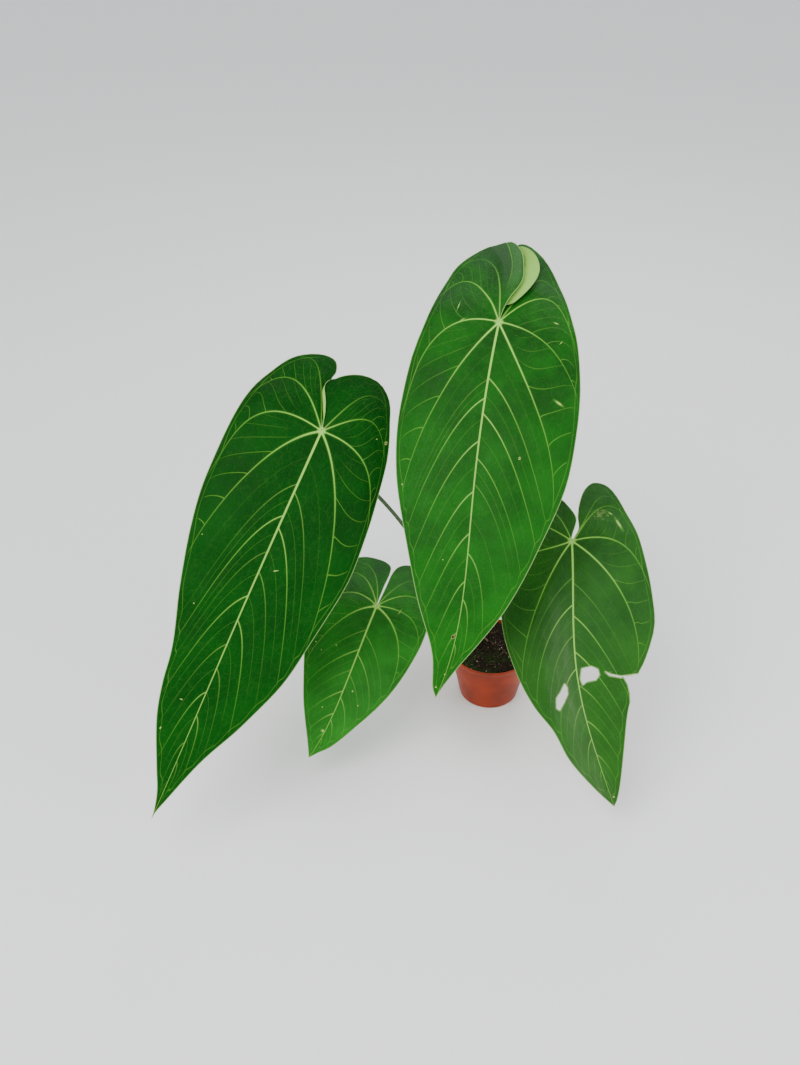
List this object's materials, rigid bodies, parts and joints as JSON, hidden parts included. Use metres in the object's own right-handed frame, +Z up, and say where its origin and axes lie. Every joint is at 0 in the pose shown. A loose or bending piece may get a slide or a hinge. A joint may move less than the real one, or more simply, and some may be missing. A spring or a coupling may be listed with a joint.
{
  "type": "potted anthurium hybrid",
  "caption": "Potted aroid with four long heart-shaped leaves held face out on slim stalks above a small tapered pot; it decorates a room and rests on the pot's base.",
  "frame": {"origin": "Centre of the pot's flat base, where it stands.", "axes": "+Z is up, out of the pot; the leaf faces look towards -Y; +X is to the right as seen from the front."},
  "size_m": [0.7226, 0.5724, 0.7339],
  "materials": {
    "pot": "satin",
    "soil": "matte",
    "stem": "matte",
    "blade": "satin",
    "stalk": "satin"
  },
  "bodies": {
    "root": {"pot": "pot", "soil": "soil", "stem": "stem", "blade_centre": "blade", "stalk_centre": "stalk", "blade_left": "blade", "stalk_left": "stalk", "blade_right": "blade", "stalk_right": "stalk", "blade_low": "blade", "stalk_low": "stalk"}
  },
  "joints": []
}
